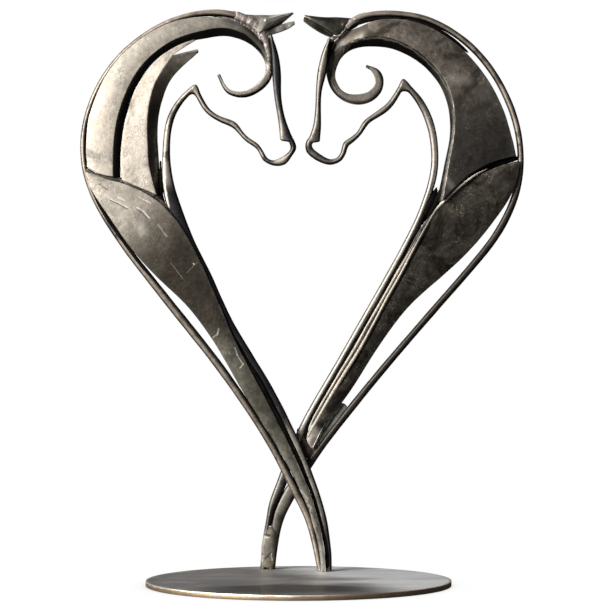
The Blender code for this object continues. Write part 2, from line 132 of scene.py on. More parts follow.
class Finish:
    """One material, built up node by node."""

    def __init__(self, name):
        self.material = bpy.data.materials.new(name)
        self.material.use_nodes = True
        self.tree = self.material.node_tree
        self.tree.nodes.clear()
        self.place = self.node("ShaderNodeTexCoord", {}, {}, "Object")
        values = {"Vector": self.place, "Scale": 260.0, "Detail": 2.0}
        jitter = self.node("ShaderNodeTexNoise", {}, values, "Color")
        scaled = {0: jitter, 1: (0.0022, 0.0022, 0.0022), 2: self.place}
        shaken = self.vector("MULTIPLY_ADD", scaled)
        self.drawn = self.vector("MULTIPLY", [shaken, (1, 0, 1)])

    def node(self, kind, settings, inputs, output=0):
        """One node: its settings first, then numbers, colours or other amounts on its inputs."""
        made = self.tree.nodes.new(kind)
        for key, value in settings.items():
            setattr(made, key, value)
        pairs = inputs.items() if isinstance(inputs, dict) else enumerate(inputs)
        for key, value in pairs:
            if isinstance(value, Amount):
                self.tree.links.new(value.socket, made.inputs[key])
            elif isinstance(value, tuple) and len(value) == 3 and made.inputs[key].type == "RGBA":
                made.inputs[key].default_value = (*value, 1)
            else:
                made.inputs[key].default_value = value
        return Amount(self, made.outputs[output])

    def vector(self, operation, inputs, output=0):
        """One Vector Math node."""
        return self.node("ShaderNodeVectorMath", {"operation": operation}, inputs, output)

    def moved(self, seed, stretch=(1, 1, 1)):
        """The place shifted by seed, so that two patterns differ, and drawn out by stretch."""
        if not seed and stretch == (1, 1, 1):
            return self.place
        return self.node("ShaderNodeMapping", {}, {0: self.place, 1: (seed, seed, seed), 3: stretch})

    def cloud(self, size, detail=3.0, roughness=0.55, distortion=0.0, stretch=(1, 1, 1), seed=0.0):
        """Soft noise whose patches are about size metres wide."""
        values = {"Vector": self.moved(seed, stretch), "Scale": 1 / size, "Detail": detail}
        values |= {"Roughness": roughness, "Distortion": distortion}
        return self.node("ShaderNodeTexNoise", {}, values)

    def cells(self, size, seed=0.0):
        """Distance to the nearest of scattered points about size metres apart."""
        values = {"Vector": self.moved(seed), "Scale": 1 / size}
        return self.node("ShaderNodeTexVoronoi", {}, values, "Distance")

    def tint(self, factor, low, high):
        """Goes from colour low to colour high with the factor."""
        return self.node("ShaderNodeMix", {"data_type": "RGBA"}, {0: factor, 6: low, 7: high}, 2)

    def axis(self, index):
        """The place along x, y or z, in metres."""
        return self.node("ShaderNodeSeparateXYZ", {}, [self.place], index)

    def trait(self, name):
        """A number stored on the piece's points."""
        return self.node("ShaderNodeAttribute", {"attribute_name": name}, {}, "Fac")

    def share_along(self, start, end):
        """The way from start to the point, the whole way to end, and the share gone along it."""
        start, reach = ACROSS @ spot(*start), ACROSS @ (spot(*end) - spot(*start))
        away = self.vector("SUBTRACT", [self.drawn, tuple(start)])
        share = self.vector("DOT_PRODUCT", [away, tuple(reach)], "Value")
        return away, reach, share * (1 / reach.length_squared)

    def stroke(self, start, end, width):
        """1 along the straight mark from start to end, falling to 0 at width squares beside it."""
        away, reach, share = self.share_along(start, end)
        held = share.most(0.0).least(1.0)
        nearest = self.vector("SCALE", {0: tuple(reach), "Scale": held})
        rest = self.vector("SUBTRACT", [away, nearest])
        return self.vector("LENGTH", [rest], "Value").step(width * SQUARE, 0.0)

    def steel(self, colour, roughness, metallic=1.0, height=None, depth=0.0005, coat=0.0):
        """Closes the material with the metal itself."""
        values = {"Base Color": colour, "Roughness": roughness, "Metallic": metallic}
        if coat:
            values["Coat Weight"] = coat
            values["Coat Roughness"] = 0.16
        if height is not None:
            bump = {"Strength": 1.0, "Distance": depth, "Height": height}
            values["Normal"] = self.node("ShaderNodeBump", {}, bump)
        surface = self.node("ShaderNodeBsdfPrincipled", {}, values)
        return self.close(surface)

    def close(self, surface):
        out = self.tree.nodes.new("ShaderNodeOutputMaterial")
        self.tree.links.new(surface.socket, out.inputs["Surface"])
        return self.material


def dimmed(colour, share):
    """The colour at a share of its brightness, at most white."""
    return tuple(min(1.0, part * share) for part in colour)


def worked_steel(
    name, pale, dark, scale_colour, roughness=0.42, mottle=0.5, scaled=0.3, depth=0.0006, seed=0.0,
    fine=0.35, rim=None, painted_shade=None, bands=(), marks=(), sparks=0.3, coat=0.15,
):
    """Forged steel under clear lacquer: mottled, pitted, with brighter worn edges and dark scale.

    rim is the colour of worn edges. The shade colour is painted shade on the sides
    that face right or down, away from the key light.
    A band changes the colour on the way between two points of the drawing; a mark is a stroke on it.
    Most bands and marks paint light and shade into the colour.
    sparks is how strongly small bright flecks show, coat how much lacquer lies on the steel.
    """
    finish = Finish(name)
    patches = finish.cloud(0.022, 4, 0.6, 0.6, seed=seed)
    grain = finish.cloud(0.0045, 4, 0.7, seed=seed + 3)
    pits = finish.cells(0.0032, seed=seed + 5).step(0.42, 0.1)
    pits = pits * finish.cloud(0.012, seed=seed + 7).step(0.52, 0.68)
    scale = finish.cloud(0.038, 5, 0.62, 1.2, seed=seed + 11).step(0.62 - 0.3 * scaled, 0.74 - 0.2 * scaled)
    worn = finish.trait("worn")
    mix = (patches.step(0.3, 0.7) * (1 - fine) + grain.step(0.3, 0.7) * fine) * mottle + (0.5 - mottle / 2)
    colour = finish.tint(mix, dark, pale)
    colour = finish.tint(scale * (1 - worn), colour, scale_colour)
    for tone, *ends in bands:
        share = finish.share_along(ends[:2], ends[2:])[2] + (patches - 0.5) * 0.8
        shade = finish.tint(mix, dimmed(tone, 0.7), dimmed(tone, 1.3))
        colour = finish.tint(share.step(0.0, 1.0), colour, shade)
    flecks = finish.cloud(0.0024, 3, 0.6, 1.5, seed=seed + 9).step(0.56, 0.68)
    flecks = flecks * finish.cloud(0.02, 4, seed=seed + 13).step(0.42, 0.62)
    colour = finish.vector("SCALE", {0: colour, "Scale": flecks * sparks * 3 + 1})
    dents = finish.cells(0.0085, seed=seed + 15)
    dents = dents.step(0.26, 0.36) * dents.step(0.48, 0.38)
    dents = dents * finish.cloud(0.015, 3, seed=seed + 17).step(0.48, 0.58)
    colour = finish.vector("SCALE", {0: colour, "Scale": 1 - dents * 0.22})
    colour = finish.tint(pits * 0.5, colour, dimmed(scale_colour, 0.5))
    colour = finish.tint(worn * 0.8, colour, rim or dimmed(pale, 1.25))
    # Painted shade: sides that face right or down, away from the key light, take the dark shade colour.
    if painted_shade:
        flank_shade = finish.tint(mix, dimmed(painted_shade, 0.7), dimmed(painted_shade, 1.4))
        colour = finish.tint(finish.trait("painted_shade"), colour, flank_shade)
    for tone, width, strength, *ends in marks:
        colour = finish.tint(finish.stroke(ends[:2], ends[2:], width) * strength, colour, tone)
    rough = patches.step(0.25, 0.75) * 0.14 + grain * 0.1 + (roughness - 0.1) + worn * 0.06
    bumps = finish.cloud(0.0012, 2, seed=seed)
    height = patches * 0.5 + grain * 0.3 - dents * 0.05 - pits * 0.06 + bumps * 0.07
    return finish.steel(colour, rough, 1.0, height, depth, coat)


def ground_plate_steel():
    """The base's satin top: fine turning scratches, stains, and a scorched cut edge, with a painted bright
    reflection towards the right and back, a painted dark reflection streak across the middle, and a painted
    highlight along the rim's upper edge on the left.
    """
    finish = Finish("base satin steel")
    x, y, z = (finish.axis(index) for index in range(3))
    stains = finish.cloud(0.05, 5, 0.6, 0.8)
    grain = finish.cloud(0.003, 3, 0.6)
    scratches = finish.cloud(0.012, 4, 0.7, stretch=(1, 14, 1))
    wave = (finish.cloud(0.09, 3, 0.5, stretch=(0.5, 1, 1)) - 0.5) * 0.16
    colour = finish.tint(stains.step(0.3, 0.7), (0.29, 0.275, 0.265), (0.42, 0.40, 0.385))
    colour = finish.tint(grain.step(0.35, 0.8) * 0.3, colour, (0.56, 0.535, 0.51))
    ripples = finish.cloud(0.05, 5, 0.65, 1.5, stretch=(0.25, 1, 1), seed=2.0)
    colour = finish.tint(ripples.step(0.55, 0.35) * 0.45, colour, (0.17, 0.16, 0.155))
    # Painted reflection: the right and back of the top turn near white, and less metallic.
    pale = (x + y * 0.5 + wave).step(-0.01, 0.08)
    bright_reflection = finish.tint(ripples.step(0.35, 0.6), (0.82, 0.80, 0.77), (1.0, 1.0, 0.98))
    colour = finish.tint(pale, colour, bright_reflection)
    # Painted reflection: a dark streak across the middle of the top.
    dark_reflection_band = y - x * 0.3 + wave + (ripples - 0.5) * 0.08
    dark = dark_reflection_band.step(-0.175, -0.130) * dark_reflection_band.step(-0.01, -0.06)
    dark = dark * x.step(0.10, 0.02) * x.step(-0.125, -0.06)
    colour = finish.tint(dark * 0.95, colour, (0.05, 0.047, 0.047))
    side = z.step(0.0053, 0.0047) * z.step(0.0001, 0.0005)
    burnt = finish.cloud(0.006, 4, 0.7).step(0.35, 0.7)
    scorched = finish.tint(burnt, (0.06, 0.048, 0.038), (0.40, 0.31, 0.21))
    colour = finish.tint(side, colour, scorched)
    lip = z + finish.cloud(0.016, 4, 0.65, seed=5.0) * 0.005
    middle = (BASE_MIDDLE, 0, BASE_HEIGHT)
    away = finish.vector("SUBTRACT", [finish.place, middle])
    reach = finish.vector("LENGTH", [away], "Value")
    hem = (reach + (stains - 0.5) * 0.004).step(BASE_RADIUS - 0.0035, BASE_RADIUS - 0.001)
    colour = finish.tint(hem * 0.75, colour, (0.62, 0.45, 0.28))
    # Painted highlight along the upper edge of the rim, on its left.
    rim_highlight = lip.step(0.0064, 0.0070) * x.step(0.07, 0.0) * z.step(0.00555, 0.0053)
    colour = finish.tint(rim_highlight, colour, (0.92, 0.86, 0.76))
    rough = stains * 0.14 + scratches * 0.14 + 0.42
    height = scratches * 0.3 + grain * 0.4 + stains * 0.2
    return finish.steel(colour, rough, 1 - pale * 0.28, height, 0.0003, coat=0.1)


# Shaping

def only(thing):
    """Selects one object and makes it the active one."""
    bpy.ops.object.select_all(action="DESELECT")
    thing.select_set(True)
    bpy.context.view_layer.objects.active = thing


def apply_modifier(thing, kind, **settings):
    made = thing.modifiers.new(kind.lower(), kind)
    for key, value in settings.items():
        setattr(made, key, value)
    only(thing)
    bpy.ops.object.modifier_apply(modifier=made.name)


def softened(name, node, edge, levels, crease):
    """A copy of a solid with its facets merged, its curves made smooth and its edges rounded."""
    thing = bpy.data.objects.new(name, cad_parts[node].data.copy())
    bpy.context.scene.collection.objects.link(thing)
    only(thing)
    bpy.ops.object.mode_set(mode="EDIT")
    bpy.ops.mesh.select_all(action="SELECT")
    bpy.ops.mesh.customdata_custom_splitnormals_clear()
    bpy.ops.mesh.remove_doubles(threshold=MERGED)
    bpy.ops.mesh.mark_sharp(clear=True)
    bpy.ops.mesh.tris_convert_to_quads(face_threshold=math.radians(25), shape_threshold=math.radians(60))
    bpy.ops.mesh.select_all(action="DESELECT")
    bpy.ops.mesh.select_mode(type="EDGE")
    bpy.ops.mesh.edges_select_sharp(sharpness=math.radians(crease))
    bpy.ops.transform.edge_crease(value=1)
    bpy.ops.mesh.select_mode(type="VERT")
    bpy.ops.object.mode_set(mode="OBJECT")
    apply_modifier(thing, "SUBSURF", levels=levels, render_levels=levels)
    faces = [tuple(face.vertices) for face in thing.data.polygons]
    skin = BVHTree.FromPolygons([point.co.copy() for point in thing.data.vertices], faces)
    apply_modifier(
        thing, "BEVEL", width=edge, segments=3, limit_method="ANGLE", angle_limit=math.radians(crease + 4),
        use_clamp_overlap=False,
    )
    for point in thing.data.vertices:
        nearest, _, _, distance = skin.find_nearest(point.co)
        if distance > edge / 2:
            point.co = nearest
    thing.data.shade_smooth()
    return thing


def points_of(mesh):
    place = np.empty(len(mesh.vertices) * 3)
    mesh.vertices.foreach_get("co", place)
    return place.reshape(-1, 3)


def normals_of(mesh):
    facing = np.empty(len(mesh.vertices) * 3)
    mesh.vertex_normals.foreach_get("vector", facing)
    return facing.reshape(-1, 3)


def hammered(thing, coarse, fine, seed):
    """Moves the surface in and out a little, as hammer and fire leave it."""
    mesh = thing.data
    place, facing = points_of(mesh), normals_of(mesh)
    shift = np.array([
        coarse * noise.noise(Vector(p) / COARSE_MARKS + Vector((seed, 0, seed)))
        + fine * noise.noise(Vector(p) / FINE_MARKS + Vector((0, seed, seed)))
        for p in place
    ])
    place += facing * shift[:, None]
    mesh.vertices.foreach_set("co", place.ravel())
    mesh.update()


def record_wear_and_shade(thing):
    """Stores on each point how far it stands proud and wears bright, and how far it faces right or down,
    away from the key light, which weights the painted shade.
    """
    mesh = thing.data
    place, facing = points_of(mesh), normals_of(mesh)
    ends = np.empty(len(mesh.edges) * 2, int)
    mesh.edges.foreach_get("vertices", ends)
    near, far = ends.reshape(-1, 2).T
    total, count = np.zeros(len(place)), np.zeros(len(place))
    for one, other in ((near, far), (far, near)):
        gap = place[one] - place[other]
        length = np.maximum(np.linalg.norm(gap, axis=1), 1e-7)
        np.add.at(total, one, (gap * facing[one]).sum(axis=1) / length)
        np.add.at(count, one, 1)
    worn = np.clip((total / np.maximum(count, 1) - 0.1) * 6, 0, 1)
    for _ in range(3):
        sums = worn.copy()
        np.add.at(sums, near, worn[far])
        np.add.at(sums, far, worn[near])
        worn = sums / (count + 1)
    # The weight of the painted shade: how far the point faces right or down.
    aside = np.clip((np.maximum(facing[:, 0], -facing[:, 2]) - 0.3) / 0.4, 0, 1)
    traits = {"worn": np.clip(worn * 1.6, 0, 1), "painted_shade": aside * aside * (3 - 2 * aside)}
    for name, values in traits.items():
        mesh.attributes.new(name, "FLOAT", "POINT").data.foreach_set("value", values)


def finish_piece(thing, slot, material, *nodes):
    """Gives the piece its steel, hides the solids that it stands for and hangs it under the root body."""
    thing.data.materials.clear()
    thing.data.materials.append(material)
    if nodes:
        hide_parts(*nodes)
    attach(thing, "root")


def along(route, spacing):
    """Points spaced along a smooth line through the route's rows of (across, down, depth, radius)."""
    rows = [np.array(row, float) for row in route]
    rows = [2 * rows[0] - rows[1], *rows, 2 * rows[-1] - rows[-2]]
    points = []
    for before, start, end, after in zip(rows, rows[1:], rows[2:], rows[3:]):
        steps = max(1, math.ceil(float(np.linalg.norm((end - start)[:2])) / spacing))
        for step in range(steps):
            t = step / steps
            points.append(0.5 * (
                2 * start + (end - before) * t + (2 * before - 5 * start + 4 * end - after) * t ** 2
                + (3 * start - before - 3 * end + after) * t ** 3
            ))
    return points + [rows[-2]]


def joined(parts, name):
    """The parts as one object, selected and active."""
    bpy.ops.object.select_all(action="DESELECT")
    for part in parts:
        part.select_set(True)
    bpy.context.view_layer.objects.active = parts[0]
    if len(parts) > 1:
        bpy.ops.object.join()
    thing = bpy.context.view_layer.objects.active
    thing.name = name
    return thing


def weld_run(name, side, offset, routes, flat, seed):
    """Weld beads: overlapping squashed drops along each route, melted into one lumpy skin."""
    drops = []
    for route in routes:
        for index, (across, down, depth, radius) in enumerate(along(route, WELD_SPACING)):
            depth += side * stance(down) + offset
            bpy.ops.object.select_all(action="DESELECT")
            bpy.ops.mesh.primitive_ico_sphere_add(subdivisions=2, radius=1)
            drop = bpy.context.object
            wobble = noise.noise_vector(Vector((index * 0.7, seed, down * 0.05)))
            size = radius * SQUARE * (1 + 0.16 * wobble.x)
            place = spot(across + 0.5 * wobble.y, down + 0.5 * wobble.z, depth)
            drop.data.transform(Matrix.Translation(place) @ Matrix.Diagonal((size, size * flat, size, 1)))
            drops.append(drop)
    thing = joined(drops, name)
    apply_modifier(thing, "REMESH", mode="VOXEL", voxel_size=WELD_VOXEL)
    apply_modifier(thing, "SMOOTH", factor=0.5, iterations=3)
    thing.data.shade_smooth()
    return thing


def rods(name, side, offset, routes, flat):
    """Rolled rims, a fillet, and black rods that paint shadow in gaps: a closed tube along each route, all
    in one piece.
    """
    tubes = []
    for route in routes:
        stops = along(route, ROD_SPACING)
        last = len(stops) - 1
        bpy.ops.object.select_all(action="DESELECT")
        bpy.ops.mesh.primitive_grid_add(x_subdivisions=last, y_subdivisions=ROD_SIDES, size=1)
        tube = bpy.context.object
        for point in tube.data.vertices:
            index = round((point.co.x + 0.5) * last)
            angle = 2 * math.pi * round((point.co.y + 0.5) * ROD_SIDES) / ROD_SIDES
            before, here, after = stops[max(index - 1, 0)], stops[index], stops[min(index + 1, last)]
            run = spot(*after[:2]) - spot(*before[:2])
            beside = Vector((run.z, 0, -run.x)).normalized()
            radius = 0.0 if index in (0, last) else here[3] * SQUARE
            centre = spot(here[0], here[1], here[2] + side * stance(here[1]) + offset)
            deep = Vector((0, radius * flat * math.sin(angle), 0))
            point.co = centre + beside * (radius * math.cos(angle)) + deep
        tubes.append(tube)
    thing = joined(tubes, name)
    bpy.ops.object.mode_set(mode="EDIT")
    bpy.ops.mesh.select_all(action="SELECT")
    bpy.ops.mesh.remove_doubles(threshold=MERGED)
    bpy.ops.mesh.normals_make_consistent(inside=False)
    bpy.ops.object.mode_set(mode="OBJECT")
    apply_modifier(thing, "SUBSURF", levels=1, render_levels=1)
    thing.data.shade_smooth()
    return thing


def make_base():
    """The base: a flame-cut disc with a ground top."""
    bpy.ops.object.select_all(action="DESELECT")
    bpy.ops.mesh.primitive_cylinder_add(
        vertices=240, radius=BASE_RADIUS, depth=BASE_HEIGHT, location=(BASE_MIDDLE, 0, BASE_HEIGHT / 2),
    )
    disc = bpy.context.object
    disc.name = "flame_cut_base"
    bpy.ops.object.transform_apply(location=True, rotation=True, scale=True)
    apply_modifier(
        disc, "BEVEL", width=0.0008, segments=2, limit_method="ANGLE", angle_limit=math.radians(60),
    )
    bpy.ops.object.mode_set(mode="EDIT")
    bpy.ops.mesh.select_all(action="DESELECT")
    bpy.ops.object.mode_set(mode="OBJECT")
    for face in disc.data.polygons:
        face.select = abs(face.normal.z) > 0.99
    bpy.ops.object.mode_set(mode="EDIT")
    bpy.ops.mesh.inset(thickness=0.004)
    bpy.ops.mesh.inset(thickness=0.03)
    bpy.ops.object.mode_set(mode="OBJECT")
    mesh = disc.data
    for point in mesh.vertices:
        away = Vector((point.co.x - BASE_MIDDLE, point.co.y))
        if away.length > BASE_RADIUS - 0.002:
            angle = math.atan2(away.y, away.x)
            right, back = math.cos(angle), math.sin(angle)
            ripple = noise.noise(Vector((right * 9, back * 9, 0)))
            ripple += 0.6 * noise.noise(Vector((right * 31, back * 31, point.co.z * 160)))
            away *= 1 - 0.00035 / BASE_RADIUS * (1 + ripple)
            point.co.x, point.co.y = BASE_MIDDLE + away.x, away.y
    disc.data.shade_smooth()
    only(disc)
    bpy.ops.object.shade_smooth_by_angle(angle=math.radians(25))
    finish_piece(disc, "base_steel", ground_plate_steel(), "base_plate")


make_base()


def line(tone, width, strength, *stops):
    """The marks that make up a bent line through the drawing's points."""
    return tuple((tone, width, strength, *here, *there) for here, there in zip(stops, stops[1:]))


# The forged pieces' finishes, with bands and marks placed on the drawing. Most of the left horse's finishes
# are lit copies of the steel and the right horse's shaded ones: the difference is painted light and shade.
# Mark colours: a painted highlight, a dark tone for painted shade and dark lines, a painted lit tone, deep
# painted shade, painted light on the right curl's face, and cream for painted highlights along edges and
# soft painted light.
HIGHLIGHT, SHADE, LIT_TONE = (0.95, 0.88, 0.78), (0.04, 0.034, 0.028), (0.66, 0.60, 0.52)
DEEP_SHADE, LIT_CURL, CREAM_LINE = (0.035, 0.033, 0.036), (0.34, 0.305, 0.255), (0.72, 0.65, 0.55)
# The left horse's mane band and lock: lit copies of the mane steel, painted bright where the key light
# falls. The band paints shade over the top of the mane, where it turns away from the light.
CREAM = worked_steel(
    "bright mane steel", (0.53, 0.465, 0.385), (0.32, 0.285, 0.24), (0.22, 0.195, 0.165), 0.58, 1.0, 0.3,
    fine=0.55, sparks=0.12, painted_shade=(0.035, 0.03, 0.024), bands=(((0.3, 0.27, 0.225), 0, 115, 0, 58),),
)
LOCK = worked_steel(
    "bright lock steel", (0.56, 0.5, 0.42), (0.36, 0.315, 0.265), (0.25, 0.215, 0.18), 0.58, 1.0, 0.25,
    seed=2.0, fine=0.6, sparks=0.12, painted_shade=(0.06, 0.05, 0.04),
)
# The right horse's mane plate: a shaded copy of the mane steel, painted dark as it faces away from the key
# light, and darker still towards the bottom. Its marks paint shade at the poll, light on the curl's face,
# highlights along the plate's inner and top edges, and soft painted light and shade in three patches.
SHADED_MANE = worked_steel(
    "dark mane steel", (0.265, 0.225, 0.185), (0.135, 0.115, 0.093), (0.075, 0.064, 0.05), 0.55, 1.0, 0.4,
    seed=4.0, fine=0.6, sparks=0.5, rim=(0.6, 0.54, 0.46), painted_shade=(0.02, 0.018, 0.015),
    bands=(((0.065, 0.058, 0.05), 0, 76, 0, 142),),
    marks=(
        line((0.1, 0.085, 0.07), 9, 0.85, (364, 29), (351, 35), (342, 42), (336, 53))
        + line(LIT_CURL, 9, 0.8, (336, 92), (350, 99), (366, 97), (379, 84), (374, 69))
        + line(CREAM_LINE, 1.5, 0.85, (441.6, 199.7), (445.5, 180), (448, 163), (452.6, 140),
               (454, 124.9))
        + line(CREAM_LINE, 1.3, 0.6, (454, 124.9), (453.5, 105), (448.5, 89), (438.5, 72.5),
               (426.4, 59.6), (412, 48.5), (396.9, 41))
        + line(CREAM_LINE, 1.3, 0.7, (396.9, 41), (379.6, 37.2), (364.4, 38.2), (352.9, 41.3))
        + ((CREAM_LINE, 9, 0.3, 452, 78, 468, 80), (SHADE, 7, 0.5, 470, 112, 488, 104),
           (CREAM_LINE, 6, 0.2, 446, 178, 452, 186))
    ),
)
# The left horse's shoulder leaf: a lit copy of the leaf steel. Its bands paint light and shade: lit at the
# top, shaded through the middle, lighter again down the leg. Its marks draw a dark line along the left
# edge, paint highlights, lit tones and shade on the chisel and hammer marks, and a broad lit patch near the
# top.
OLIVE = worked_steel(
    "left shoulder steel", (0.62, 0.56, 0.475), (0.38, 0.335, 0.275), (0.26, 0.23, 0.19), 0.55, 1.0, 0.25,
    seed=6.0, fine=0.6, rim=(0.56, 0.51, 0.44),
    bands=(((0.17, 0.145, 0.115), 118, 196, 160, 245), ((0.05, 0.042, 0.032), 136, 238, 182, 268),
           ((0.13, 0.12, 0.093), 0, 318, 0, 360), ((0.22, 0.203, 0.165), 0, 405, 0, 465),
           ((0.38, 0.35, 0.3), 0, 528, 0, 558)),
    marks=(
        line(SHADE, 3.2, 0.85, (97, 199), (110.5, 219), (130.5, 248), (157.5, 278), (186, 305),
             (207, 332), (243.5, 393), (291.5, 473))
        + line(HIGHLIGHT, 1.1, 0.6, (110, 197), (120, 202.5), (128.5, 207))
        + line(HIGHLIGHT, 1.2, 0.7, (138.5, 207), (145, 211), (151, 217.8))
        + line(LIT_TONE, 1.3, 0.4, (219.5, 328), (218.8, 333), (214, 336.5))
        + line(HIGHLIGHT, 1.0, 0.6, (236, 346.5), (238.2, 354), (244, 363), (241, 367))
        + line(LIT_TONE, 1.8, 0.4, (302.2, 489.3), (308.2, 496.5), (306.9, 500.5))
        + line(LIT_TONE, 1.8, 0.4, (308.4, 503.3), (312.2, 505.6), (310.8, 508.6))
        + ((SHADE, 1.0, 0.7, 112, 199.6, 129, 208.6), (HIGHLIGHT, 1.1, 0.7, 119.5, 196.5, 126, 200),
           (SHADE, 1.0, 0.6, 139, 209, 149, 218), (HIGHLIGHT, 1.0, 0.6, 140.5, 196.5, 152, 203),
           (LIT_TONE, 1.4, 0.4, 159.5, 224, 168, 236), (SHADE, 1.6, 0.5, 101, 184, 109.5, 190),
           (HIGHLIGHT, 1.2, 0.7, 195, 263, 195.3, 263.4), (LIT_TONE, 8.0, 0.35, 138, 221, 144, 232),
           (LIT_TONE, 0.7, 0.25, 172, 262, 184, 278), (LIT_TONE, 0.7, 0.2, 188, 272, 198, 262),
           (HIGHLIGHT, 1.4, 0.6, 231.5, 383, 232.5, 386), (SHADE, 1.5, 0.6, 301.5, 492, 305.2, 497.5),
           (SHADE, 1.5, 0.6, 308, 505.5, 309.6, 508.5), (SHADE, 1.6, 0.6, 312.6, 511, 315.2, 515.5),
           (SHADE, 1.5, 0.6, 317, 526, 318.6, 531))
    ),
)
# The right horse's shoulder leaf: a shaded copy of the leaf steel, with painted light towards its lower
# end.
SHADED_LEAF = worked_steel(
    "right shoulder steel", (0.13, 0.112, 0.09), (0.055, 0.048, 0.038), (0.03, 0.026, 0.02), 0.55, 1.0,
    0.5, seed=8.0, fine=0.7, sparks=1.1, rim=(0.3, 0.27, 0.22),
    bands=(((0.52, 0.465, 0.4), 322, 424, 316, 433),),
)
# The left crest bar: its marks paint shade along the bar's inner edge and draw a weaker dark line along its
# outer edge.
CREST = worked_steel(
    "crest bar steel", (0.42, 0.355, 0.285), (0.22, 0.185, 0.145), (0.09, 0.078, 0.064), 0.55, 0.8, 0.3,
    0.0002, seed=10.0, painted_shade=(0.015, 0.013, 0.011),
    marks=(
        line(SHADE, 2.6, 0.9, (99, 199), (124, 239), (161.7, 287), (232.8, 378.2), (270.7, 436),
             (301.5, 494))
        + line(SHADE, 1.4, 0.6, (93, 202), (118, 243), (155, 292), (226, 383), (264, 440), (294, 498))
    ),
)
# The right crest bar: painted shade from the neck down, painted light again low on the leg, and painted
# shade along the leg's outer edge.
SHADED_CREST = worked_steel(
    "dark crest bar steel", (0.44, 0.375, 0.3), (0.24, 0.2, 0.155), (0.09, 0.078, 0.064), 0.55, 0.8, 0.3,
    0.0002, seed=11.0, painted_shade=(0.015, 0.013, 0.011),
    bands=(((0.055, 0.046, 0.038), 0, 150, 0, 215), ((0.2, 0.18, 0.15), 0, 455, 0, 485)),
    marks=line(SHADE, 7, 0.95, (312, 467), (294, 499), (284, 518), (278.3, 541), (274.8, 570)),
)
# The left face bar: deep painted shade over the head's right-hand part and the whole neck, painted light
# again low on the leg, darker at the foot; the marks paint light along the lit left edges of the throat and
# the nose.
LEFT_FACE = worked_steel(
    "left face bar steel", (0.54, 0.475, 0.4), (0.32, 0.28, 0.23), (0.1, 0.088, 0.072), 0.52, 0.8, 0.2,
    0.0002, seed=12.0, painted_shade=(0.03, 0.027, 0.024),
    bands=((DEEP_SHADE, 264, 80, 276, 77), (DEEP_SHADE, 0, 172, 0, 192), ((0.36, 0.33, 0.28), 0, 405, 0, 440),
           ((0.1, 0.09, 0.08), 0, 500, 0, 535)),
    marks=((LIT_TONE, 2.6, 0.9, 163.6, 158, 165, 180), (LIT_TONE, 2.0, 0.9, 165, 180, 169.5, 207),
           (LIT_TONE, 1.8, 0.6, 273, 84, 276.5, 110), (LIT_TONE, 2.0, 0.7, 276.5, 110, 281.5, 139)),
)
# The right face bar: a shaded copy of the face bar steel, with painted light on the neck and leg, darker
# again below the crossing.
RIGHT_FACE = worked_steel(
    "right face bar steel", (0.27, 0.24, 0.205), (0.15, 0.132, 0.112), (0.06, 0.052, 0.045), 0.52, 0.8,
    0.25, 0.0002, seed=13.0, painted_shade=(0.015, 0.013, 0.011),
    bands=(((0.33, 0.3, 0.26), 400, 112, 424, 136), ((0.17, 0.155, 0.13), 0, 435, 0, 475)),
)
# Both ears: the band paints shade over the right ear; the marks paint highlights along the left ear's rims
# and shade in its hollow.
EAR = worked_steel(
    "ear steel", (0.4, 0.37, 0.32), (0.2, 0.18, 0.155), (0.09, 0.08, 0.065), 0.42, 0.8, 0.3, seed=14.0,
    bands=(((0.085, 0.078, 0.063), 309, 25, 322, 25),),
    marks=((HIGHLIGHT, 1.0, 0.8, 259, 33.4, 268, 26.6), (HIGHLIGHT, 1.0, 0.8, 268, 26.6, 277.5, 20),
           (HIGHLIGHT, 0.9, 0.8, 277.5, 20, 289, 14.4), (SHADE, 2.6, 0.9, 268, 30, 283, 22)),
)
WEB = worked_steel(
    "web weld steel", (0.17, 0.145, 0.12), (0.08, 0.068, 0.056), (0.03, 0.025, 0.02), 0.6, 1.0, 0.4,
    0.0004, seed=15.0, fine=0.6,
)
# The right foot's weld: painted shade over its right side and a brown tint at its bottom; the marks paint
# highlights and shade across the foot.
FOOT = worked_steel(
    "foot weld steel", (0.38, 0.345, 0.295), (0.19, 0.17, 0.14), (0.1, 0.088, 0.07), 0.6, 1.0, 0.3,
    0.0004, seed=17.0, fine=0.6, painted_shade=(0.02, 0.018, 0.015),
    bands=(((0.055, 0.048, 0.04), 270, 0, 276.5, 0), ((0.34, 0.25, 0.15), 262, 564, 266, 570)),
    marks=((SHADE, 1.7, 0.95, 265.7, 534.2, 270.3, 534.8), (HIGHLIGHT, 1.1, 0.55, 266, 536.6, 269.4, 537),
           (SHADE, 1.6, 0.9, 271.1, 552.3, 265.9, 558.3), (SHADE, 1.2, 0.6, 265, 545.5, 266.5, 547.5),
           (HIGHLIGHT, 1.0, 0.8, 271.9, 553, 272.4, 560), (HIGHLIGHT, 1.2, 0.8, 267.5, 525.5, 271, 525.8),
           (SHADE, 1.6, 0.7, 263, 568.5, 273, 568.8)),
)
BEAD = worked_steel(
    "weld steel", (0.22, 0.195, 0.165), (0.1, 0.088, 0.075), (0.035, 0.03, 0.025), 0.6, 0.9, 0.5, 0.0004,
    seed=16.0, coat=0.0,
)
POLL = worked_steel(
    "poll weld steel", (0.5, 0.435, 0.39), (0.31, 0.265, 0.235), (0.14, 0.12, 0.1), 0.58, 0.9, 0.3,
    0.0004, seed=18.0,
)
# Near-black steel for the welds and rods laid in gaps and along flanks that lie in shadow: painted shadow.
SHADOW_BLACK = worked_steel(
    "shadowed weld steel", (0.02, 0.017, 0.015), (0.01, 0.009, 0.008), (0.006, 0.005, 0.005), 0.75, 0.9,
    0.5, 0.0003, seed=20.0, coat=0.0,
)
